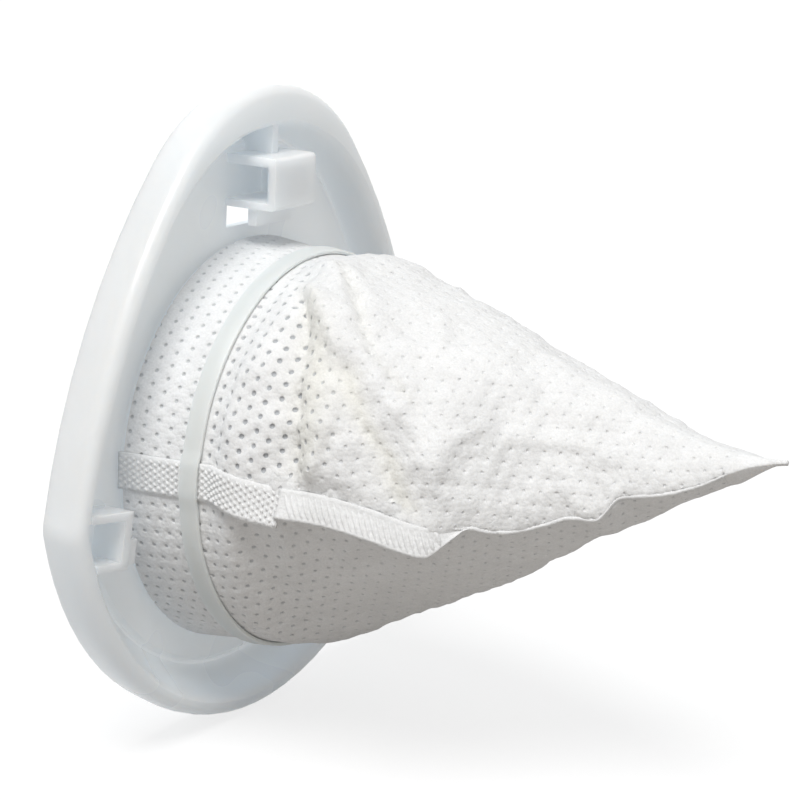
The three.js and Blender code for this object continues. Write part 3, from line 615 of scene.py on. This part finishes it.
def add_margins(points, turns, straight):
    """Run the cloth on past the weld, straight inside the strip and tucked in past the strip's end."""
    for edge, inner, way, lean in (
        (turns < 0, 0, -1, UPPER_MARGIN_LEAN), (turns > 4, 4, 1, LOWER_MARGIN_LEAN),
    ):
        first = np.argmin(abs(turns - inner))
        for k in np.nonzero(edge)[0]:
            away = abs(turns[k] - inner) * MARGIN_RUN
            points[:, k] = points[:, first]
            points[:, k, 2] += away * (way * straight - TUCK_DROP * (1 - straight))
            points[:, k, 1] += away * (lean * straight + TUCK_LEAN * (1 - straight))


def looseness(x, turn):
    """How free the cloth is to wrinkle: little near the cuff, the weld, the crown and the tip."""
    share = (x - COLLAR_LENGTH) / FREE_LENGTH
    loose = smooth(x, 20.5, 27) * (1 - smooth(share, 0.7, 0.93))
    loose = loose * (0.35 + 0.65 * smooth(turn, 0, 0.12) * (1 - smooth(turn, 3.9, 4.0)))
    return loose * (1 - 0.5 * bell(turn - 1, 0.2) - 0.45 * smooth(turn, 2.6, 3))


def turn_out(thing):
    """Make an open cone's faces look away from its axis."""
    bm = bmesh.new()
    bm.from_mesh(thing.data)
    bm.normal_update()
    bm.faces.ensure_lookup_table()
    middle = bm.faces[len(bm.faces) // 2]
    centre = middle.calc_center_median()
    if middle.normal.dot(Vector((0, centre.y, centre.z))) < 0:
        bmesh.ops.reverse_faces(bm, faces=bm.faces[:])
    bm.to_mesh(thing.data)
    bm.free()


def cloth_surface():
    """The smooth cone of cloth that the holes are laid on, open along the weld, with its flat pattern."""
    turns = np.concatenate([
        np.linspace(-MARGIN_TURN, 1, 60), np.linspace(1, 2, 34)[1:], np.linspace(2, 3, 34)[1:],
        np.linspace(3, 4 + MARGIN_TURN, 50)[1:],
    ])
    rows = [*cuff_rows(turns), *free_rows(turns)]
    points, painted_fold_shades, opens, straight = (np.array(values) for values in zip(*rows))
    add_margins(points, turns, straight)
    count_rows, count_turns = points.shape[:2]
    places = points.reshape(-1, 3)
    thing = mesh_object("cloth surface", places, quads(count_rows, count_turns))
    turn_out(thing)
    normals = [Vector(n.vector) for n in thing.data.vertex_normals]
    loose = looseness(places[:, 0], np.tile(turns, count_rows))
    for vertex, place, normal, free in zip(thing.data.vertices, places, normals, loose):
        vertex.co += normal * (crumple(place) * float(free)) * MM
    # the folds' painted shade and the cloth's openness are kept on its points
    for name, values in (("painted_fold_shade", painted_fold_shades), ("opened", opens)):
        thing.data.attributes.new(name, "FLOAT", "POINT").data.foreach_set("value", values.reshape(-1))
    flatten(thing, np.arange(len(places)).reshape(count_rows, count_turns))
    return thing


def unwrapped(points, rows, columns):
    """The flat pattern of a grid of points in mm, in no particular scale."""
    rough = mesh_object("rough cloth", points, quads(rows, columns))
    bpy.context.view_layer.objects.active = rough
    rough.select_set(True)
    bpy.ops.object.mode_set(mode="EDIT")
    bpy.ops.mesh.select_all(action="SELECT")
    bpy.ops.uv.unwrap(method="MINIMUM_STRETCH", iterations=40, margin=0)
    bpy.ops.object.mode_set(mode="OBJECT")
    flat = np.zeros((rows * columns, 2))
    for loop, pair in zip(rough.data.loops, rough.data.uv_layers[0].data):
        flat[loop.vertex_index] = pair.uv
    remove(rough)
    return flat.reshape(rows, columns, 2)


def filled_in(values, places, count):
    """Values known at some places along the first axis, worked out at all of them."""
    known = values.reshape(len(places), -1).T
    every = np.array([np.interp(np.arange(count), places, row) for row in known])
    return every.T.reshape(count, *values.shape[1:])


def flatten(thing, index):
    """The cloth's flat pattern, in units of CUT_SPAN, with its columns upright beside the weld."""
    rows, columns = index.shape
    some_rows = np.unique(np.append(np.arange(0, rows, 4), rows - 1))
    some_columns = np.unique(np.append(np.arange(0, columns, 4), columns - 1))
    co = np.array([v.co[:] for v in thing.data.vertices])
    coarse = index[np.ix_(some_rows, some_columns)]
    flat = unwrapped(co[coarse.ravel()] / MM, *coarse.shape)
    flat = filled_in(flat.swapaxes(0, 1), some_columns, columns).swapaxes(0, 1)
    flat = filled_in(flat, some_rows, rows)
    spread = flat.reshape(-1, 2)

    along, (first, last) = slice(*SCALE_ROWS), SCALE_COLUMNS
    a, b = (index[along, first + step:last + step:SCALE_STEP].ravel() for step in (0, SCALE_STEP))
    lengths, flat_lengths = (np.linalg.norm(p[a] - p[b], axis=1) for p in (co, spread))
    scale = np.median(lengths / flat_lengths)
    low, high = (flat[UPRIGHT_ROW, column] for column in UPRIGHT_COLUMNS)
    turn = math.pi / 2 - math.atan2(high[1] - low[1], high[0] - low[0])
    spin = np.array([[math.cos(turn), math.sin(turn)], [-math.sin(turn), math.cos(turn)]])
    spread = (spread - low) @ spin * scale * UNIT
    if spread[index[-1, UPRIGHT_COLUMNS[1]], 0] < 0:
        spread[:, 0] *= -1
    spread += 0.5 - (spread.min(0) + spread.max(0)) / 2
    corner = np.zeros(len(thing.data.loops), int)
    thing.data.loops.foreach_get("vertex_index", corner)
    thing.data.uv_layers.new(name="UVMap").data.foreach_set("uv", spread[corner].reshape(-1))


def ring_faces(inner, outer, angles_in, angles_out):
    """Triangles between two rings of points about the same centre."""
    faces = []
    i = j = 0
    n, m = len(inner), len(outer)
    while i < n or j < m:
        next_in = angles_in[i + 1] if i + 1 < n else angles_in[0] + 2 * math.pi
        next_out = angles_out[j + 1] if j + 1 < m else angles_out[0] + 2 * math.pi
        if j >= m or (i < n and next_in <= next_out):
            faces.append((inner[i % n], outer[j % m], inner[(i + 1) % n]))
            i += 1
        else:
            faces.append((inner[i % n], outer[j % m], outer[(j + 1) % m]))
            j += 1
    return faces


def hole_cell():
    """One brick of cloth with a hole in it, closed at its bottom by a cap that is painted grey as shade for
    the bag's inside seen through the hole.
    """
    w, h = HOLE_COLUMNS / 2, HOLE_PITCH / 2
    border = [(w, h * k / 2) for k in range(-2, 2)]
    border += [(w * (1 - 2 * k / 3), h) for k in range(3)]
    border += [(-w, h * (1 - k / 2)) for k in range(4)]
    border += [(-w * (1 - 2 * k / 3), -h) for k in range(3)]
    outer = sorted(border, key=lambda p: math.atan2(p[1], p[0]))
    ring = [2 * math.pi * k / HOLE_SIDES - math.pi + 0.05 for k in range(HOLE_SIDES)]
    vertices, pit = [(0, 0, -1.08 * HOLE_DEPTH)], [1.0]
    for share, depth, inside in HOLE_RINGS:
        radius = share * HOLE_RADIUS
        vertices += [(radius * math.cos(a), radius * math.sin(a), -depth) for a in ring]
        pit += [inside] * HOLE_SIDES
    vertices += [(x, y, 0.0) for x, y in outer]
    pit += [0.0] * len(outer)
    low, edge_ring, rim = ([1 + HOLE_SIDES * k + i for i in range(HOLE_SIDES)] for k in range(3))
    faces = [(0, low[k], low[(k + 1) % HOLE_SIDES]) for k in range(HOLE_SIDES)]
    faces += ring_faces(low, edge_ring, ring, ring) + ring_faces(edge_ring, rim, ring, ring)
    edge = list(range(1 + 3 * HOLE_SIDES, len(vertices)))
    faces += ring_faces(rim, edge, ring, [math.atan2(p[1], p[0]) for p in outer])
    cell = mesh_object("hole cell", vertices, faces)
    cell.data.attributes.new("pit", "FLOAT", "POINT").data.foreach_set("value", pit)
    return cell


def cloth():
    """The perforated cloth, trimmed at the bag's mouth and under the plain tip."""
    surface, cell = cloth_surface(), hole_cell()
    spacing = (HOLE_COLUMNS, HOLE_PITCH)
    corner = [(CUT_SPAN - count * step) / 2 for count, step in zip((LATTICE_COLUMNS, LATTICE_ROWS), spacing)]
    piece = lay_pattern("perforated_cloth", surface, cell, LATTICE_COLUMNS, LATTICE_ROWS, spacing,
                        HALF_ROW, corner, CELL_WELD)
    bm = bmesh.new()
    bm.from_mesh(piece.data)
    for x, facing in ((BAG_MOUTH, 1), (COLLAR_LENGTH + TIP_START * FREE_LENGTH + TIP_OVERLAP, -1)):
        everything = bm.verts[:] + bm.edges[:] + bm.faces[:]
        bmesh.ops.bisect_plane(bm, geom=everything, plane_co=(x * MM, 0, 0), plane_no=(facing, 0, 0),
                               clear_inner=True)
    bm.to_mesh(piece.data)
    bm.free()
    remove(cell, surface)
    return piece


def cone_tip():
    """The cone's tip, pressed flat and plain."""
    shares = np.linspace(TIP_START, 1, 16)
    turns = np.linspace(0, 4, 41)[:-1]
    vertices = []
    for share in shares:
        y, z = section(share, turns)
        middle_y, middle_z = TIP_SIDE * share, TIP_RISE * share
        size = np.hypot(y - middle_y, z - middle_z)
        grown = smooth(share, TIP_START, TIP_START + 0.02) * (1 - 0.7 * smooth(share, 0.96, 1))
        skin = TIP_SKIN * float(grown)
        y = middle_y + (y - middle_y) * (1 + skin / size)
        z = middle_z + (z - middle_z) * (1 + skin / size)
        vertices += [(COLLAR_LENGTH + share * FREE_LENGTH, a, b) for a, b in zip(y, z)]
    count = len(turns)
    faces = quads(len(shares), count, round_columns=True)
    faces.append(tuple((len(shares) - 1) * count + k for k in range(count)))
    return finished_piece("cone_tip", vertices, faces, CLOTH_FINISH)


def folded_edge():
    """The folded edge that runs from the strip's end to the tip, where the upper side turns under."""
    shares = np.linspace(STRIP_END - 0.03, TIP_START + 0.03, 110)
    y, z = section(shares, np.zeros(len(shares)))
    centre = np.column_stack([COLLAR_LENGTH + shares * FREE_LENGTH, y, z])
    taper = (1 - 0.5 * smooth(shares, 0.8, 0.93)) * smooth(shares, STRIP_END - 0.032, STRIP_END)
    count = 10
    vertices = []
    for (x, y, z), size in zip(centre, FOLDED_EDGE_SIZE * taper):
        wobble = 0.1 * noise.noise(Vector((x * 0.5, 2, 6)))
        for k in range(count):
            a = 2 * math.pi * k / count
            vertices.append((x, y + 0.15 + size * 0.9 * math.cos(a), z + wobble + size * math.sin(a)))
    faces = quads(len(centre), count, round_columns=True)
    return finished_piece("folded_edge", vertices, faces, CLOTH_FINISH)


# The weld strip

def strip_line(x):
    """The strip's outer face and its upper edge at a place along the collar's axis."""
    share = np.maximum((x - COLLAR_LENGTH) / FREE_LENGTH, 0)
    free = smooth(x, 18, 25)
    on_cuff = -(collar_radius(x) + CLOTH_GAP + CUFF_STAND_OFF)
    y = on_cuff * (1 - free) + (near_point(share)[0] + TIP_SIDE * share - FREE_STAND_OFF) * free
    hung = smooth(x, 12, 24)
    seam = SEAM(share) * TIP_RADIUS + TIP_RISE * share
    return y, (STRIP_LOWER_EDGE + STRIP_WIDTH) * (1 - hung) + seam * hung


def ribbon_faces(rows, columns):
    """The faces of a flat ribbon of two layers, with its sides and ends."""
    count = rows * columns

    def at(layer, i, k):
        return layer * count + i * columns + k

    faces = []
    for i in range(rows - 1):
        for k in range(columns - 1):
            faces.append((at(0, i, k), at(0, i + 1, k), at(0, i + 1, k + 1), at(0, i, k + 1)))
            faces.append((at(1, i, k), at(1, i, k + 1), at(1, i + 1, k + 1), at(1, i + 1, k)))
        side = columns - 1
        faces.append((at(0, i, 0), at(1, i, 0), at(1, i + 1, 0), at(0, i + 1, 0)))
        faces.append((at(0, i, side), at(0, i + 1, side), at(1, i + 1, side), at(1, i, side)))
    end = rows - 1
    for k in range(columns - 1):
        faces.append((at(0, 0, k), at(0, 0, k + 1), at(1, 0, k + 1), at(1, 0, k)))
        faces.append((at(0, end, k), at(1, end, k), at(1, end, k + 1), at(0, end, k + 1)))
    return faces


def ribbon(name, xs, width):
    """A length of the weld strip, two layers thick, with its own flat pattern on the outer face."""
    columns = 11
    y, top = strip_line(xs)
    hang = smooth(xs, 22, 34)
    vertices = []
    for side in (0, 1):
        for i, x in enumerate(xs):
            for v in np.arange(columns) / (columns - 1):
                wave = STRIP_WAVE * noise.noise(Vector((x * 0.13, v * 1.1, 4))) * hang[i]
                out = STRIP_FLARE * (1 - v) ** 1.2 * hang[i]
                place = y[i] - out + wave + STRIP_LAYER * side
                vertices.append((x + 0.1 * side, place, top[i] - (1 - v) * width[i]))
    thing = mesh_object(name, vertices, ribbon_faces(len(xs), columns))
    pattern = thing.data.uv_layers.new(name="UVMap").data
    lengths = np.concatenate([[0], np.cumsum(np.hypot(np.diff(xs), np.diff(y)))])
    outer_count = len(xs) * columns
    for face in thing.data.polygons:
        on_outer_face = all(v < outer_count for v in face.vertices)
        for loop in face.loop_indices:
            i, k = divmod(thing.data.loops[loop].vertex_index % outer_count, columns)
            spot = ((lengths[i] + 1) / CUT_SPAN, (1 + k / (columns - 1) * width[i]) / CUT_SPAN)
            pattern[loop].uv = spot if on_outer_face else (0.9, 0.9)
    thing.data.materials.append(CLOTH_FINISH)
    return thing, float(lengths[-1])


def weld_bump(length, width, height, lean, sides):
    """A low rounded bump. Its lean is in degrees."""
    c, s = math.cos(math.radians(lean)), math.sin(math.radians(lean))
    vertices = [(0, 0, height)]
    for radius, level in ((0.55, 0.8 * height), (1.0, -0.05)):
        for k in range(sides):
            a = 2 * math.pi * k / sides
            x, y = radius * length / 2 * math.cos(a), radius * width / 2 * math.sin(a)
            vertices.append((x * c - y * s, x * s + y * c, level))
    faces = [(0, 1 + k, 1 + (k + 1) % sides) for k in range(sides)]
    for k in range(sides):
        after = (k + 1) % sides
        faces.append((1 + k, 1 + sides + k, 1 + sides + after, 1 + after))
    return mesh_object("weld bump", vertices, faces)


def weld_strip():
    """The strip in its two lengths: welded dots on the wide one and slanted ribs on the narrow one."""
    places = (STRIP_STEP, STRIP_CORNER, STRIP_END)
    step, corner, end = (COLLAR_LENGTH + share * FREE_LENGTH for share in places)
    wide = np.linspace(BAG_MOUTH - 0.8, step, 48)
    narrow = np.concatenate([np.linspace(step - 0.4, corner, 38), np.linspace(corner, end, 8)[1:]])
    tail = np.clip((end - narrow) / (end - corner), 0.1, 1)
    dot = weld_bump(length=1.15, width=0.68, height=0.4, lean=-55, sides=6)
    rib = weld_bump(length=5.0, width=0.74, height=0.42, lean=-62, sides=12)

    near_frame, length = ribbon("weld_strip_near_frame", wide, np.full(len(wide), STRIP_WIDTH))
    dots = lay_pattern("weld_strip_near_frame_bumps", near_frame, dot, int(length / DOT_SPACING[0]), DOT_ROWS,
                       DOT_SPACING, HALF_ROW, DOT_CORNER, BUMP_WELD)
    free, length = ribbon("weld_strip_free", narrow, STRIP_FREE_WIDTH * tail)
    ribbed = length - (end - corner) - RIB_MARGIN
    ribs = lay_pattern("weld_strip_free_bumps", free, rib, int(ribbed / RIB_SPACING[0]), 1, RIB_SPACING, 0.0,
                       RIB_CORNER, BUMP_WELD)
    remove(dot, rib)
    return [near_frame, dots, free, ribs]


# The band

def band():
    """The band round the cuff, which rises over the weld strip."""
    half = BAND_WIDTH / 2
    corners = ((1, 1, 0), (-1, 1, 90), (-1, 0, 180), (1, 0, 270))
    profile = []
    for side, outer, start in corners:
        middle = side * (half - BAND_ROUNDING)
        depth = BAND_THICKNESS - BAND_ROUNDING if outer else BAND_ROUNDING
        for a in (math.radians(start + k * 30) for k in range(4)):
            profile.append((middle + BAND_ROUNDING * math.cos(a), depth + BAND_ROUNDING * math.sin(a)))
    steps, mean_radius = 192, 41
    vertices = []
    for i in range(steps):
        angle = 2 * math.pi * i / steps
        y_dir, z_dir = math.cos(angle), math.sin(angle)
        level = mean_radius * z_dir
        over_strip = float(smooth(level, -4.5, -1.5) * (1 - smooth(level, 4.8, 7.6))) if y_dir < 0 else 0
        wander = BAND_WANDER * noise.noise(Vector((2 * y_dir, 2 * z_dir, 9)))
        for px, pr in profile:
            x = BAND_START + half + px + wander
            base = float(collar_radius(x)) + CLOTH_GAP + BAND_CLEARANCE
            radius = base + pr + BAND_OVER_STRIP * over_strip
            vertices.append((x, radius * y_dir, radius * z_dir))
    faces = quads(steps, len(profile), round_columns=True, round_rows=True)
    return finished_piece("clamping_band", vertices, faces, BAND_FINISH)


# The moulded frame

def moulding():
    """The frame with its sharp edges rounded, as a moulded part has them."""
    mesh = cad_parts["frame"].data.copy()
    mesh.name = "moulded_frame"
    thing = bpy.data.objects.new("moulded_frame", mesh)
    scene.collection.objects.link(thing)
    bm = bmesh.new()
    bm.from_mesh(mesh)
    bmesh.ops.remove_doubles(bm, verts=bm.verts, dist=0.02 * MM)
    bmesh.ops.dissolve_limit(bm, angle_limit=FLAT_ANGLE, verts=bm.verts, edges=bm.edges)
    for face in bm.faces:
        face.smooth = True
    for edge in bm.edges:
        edge.smooth = len(edge.link_faces) != 2 or edge.calc_face_angle() < SHARP_ANGLE
    bm.to_mesh(mesh)
    bm.free()
    mesh.materials.clear()
    mesh.materials.append(FRAME_FINISH)
    bevel = thing.modifiers.new("rounded edges", "BEVEL")
    bevel.width, bevel.segments = EDGE_ROUNDING * MM, 2
    bevel.limit_method, bevel.angle_limit = "ANGLE", SHARP_ANGLE
    bevel.harden_normals = True
    graph = bpy.context.evaluated_depsgraph_get()
    rounded = bpy.data.meshes.new_from_object(thing.evaluated_get(graph))
    thing.modifiers.clear()
    thing.data = rounded
    return thing


# The floor, the backdrop, the lamps and the camera

def seen_directly(tree):
    """1 for what the camera sees, straight or by reflection or through something clear, and 0 otherwise."""
    path = add(tree, "ShaderNodeLightPath").outputs
    seen = maths(tree, "MAXIMUM", path["Is Camera Ray"], path["Is Transmission Ray"])
    return maths(tree, "MAXIMUM", seen, path["Is Glossy Ray"])


def floor():
    """The floor, which glows up to white where it is seen and keeps a faint shadow."""
    low = cad_bounds[0][2] / MM - FLOOR_DROP
    corners = [(x * FLOOR_REACH, y * FLOOR_REACH, low) for x, y in ((-1, -1), (1, -1), (1, 1), (-1, 1))]
    thing = mesh_object("floor", corners, [(0, 1, 2, 3)])
    material, tree, shader = new_material("white floor", Roughness=0.9, Base_Color=FLOOR_LIT)
    pale = add(tree, "ShaderNodeBsdfDiffuse", ("Color", FLOOR_SHOWN))
    glow = add(tree, "ShaderNodeEmission", ("Color", (1, 1, 1, 1)), ("Strength", FLOOR_GLOW))
    shown = add(tree, "ShaderNodeAddShader", (0, pale.outputs[0]), (1, glow.outputs[0])).outputs[0]
    mix = add(tree, "ShaderNodeMixShader", (0, seen_directly(tree)), (1, shader.outputs[0]), (2, shown))
    tree.links.new(mix.outputs[0], tree.nodes["Material Output"].inputs["Surface"])
    thing.data.materials.append(material)


def backdrop():
    """White all round where it is seen, and dimmer as a light."""
    world = bpy.data.worlds.new("studio")
    scene.world = world
    world.use_nodes = True
    tree = world.node_tree
    background = tree.nodes["Background"]
    background.inputs["Color"].default_value = (1, 1, 1, 1)
    strength = remap(tree, seen_directly(tree), AMBIENT, 1.0)
    tree.links.new(strength, background.inputs["Strength"])


def sun(name, towards, strength, softness, colour=(1, 1, 1)):
    """A wide soft lamp, far off in the direction given. Its softness is in degrees."""
    light = bpy.data.lights.new(name, "SUN")
    light.energy, light.angle, light.color = strength, math.radians(softness), colour
    thing = bpy.data.objects.new(name, light)
    scene.collection.objects.link(thing)
    thing.location = Vector(towards)
    thing.rotation_euler = Vector(towards).to_track_quat("Z", "Y").to_euler()


def camera():
    """The camera, placed by its angles, its distance and the point that it looks at."""
    level = math.cos(ELEVATION)
    back = Vector((math.cos(AZIMUTH) * level, -math.sin(AZIMUTH) * level, math.sin(ELEVATION)))
    right = Vector((math.sin(AZIMUTH), math.cos(AZIMUTH), 0))
    up = right.cross(-back)
    across = right * math.cos(ROLL) + up * math.sin(ROLL)
    upright = -right * math.sin(ROLL) + up * math.cos(ROLL)
    lens = bpy.data.cameras.new("camera")
    lens.sensor_width, lens.lens = SENSOR, SENSOR * FOCAL_PIXELS / PICTURE
    lens.clip_start, lens.clip_end = 0.01, 20
    thing = bpy.data.objects.new("camera", lens)
    scene.collection.objects.link(thing)
    place = (LOOK_AT + back * DISTANCE) * MM
    thing.matrix_world = Matrix((
        (across.x, upright.x, back.x, place.x), (across.y, upright.y, back.y, place.y),
        (across.z, upright.z, back.z, place.z), (0, 0, 0, 1),
    ))
    scene.camera = thing


camera()
floor()
backdrop()
sun("key", (0.13, -0.48, 0.87), strength=2.32, softness=30)
sun("back", (-0.85, 0.5, 0.2), strength=0.75, softness=60, colour=(0.76, 0.89, 1.0))
scene.view_settings.view_transform = "Standard"

cloth_piece = cloth()
strip_pieces = [cone_tip(), folded_edge(), *weld_strip()]
for piece in [cloth_piece, *strip_pieces]:
    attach(piece, "root")
    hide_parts("filter_bag")

clamp = band()
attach(clamp, "root")
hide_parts("retaining_band")

shell = moulding()
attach(shell, "root")
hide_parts("frame")
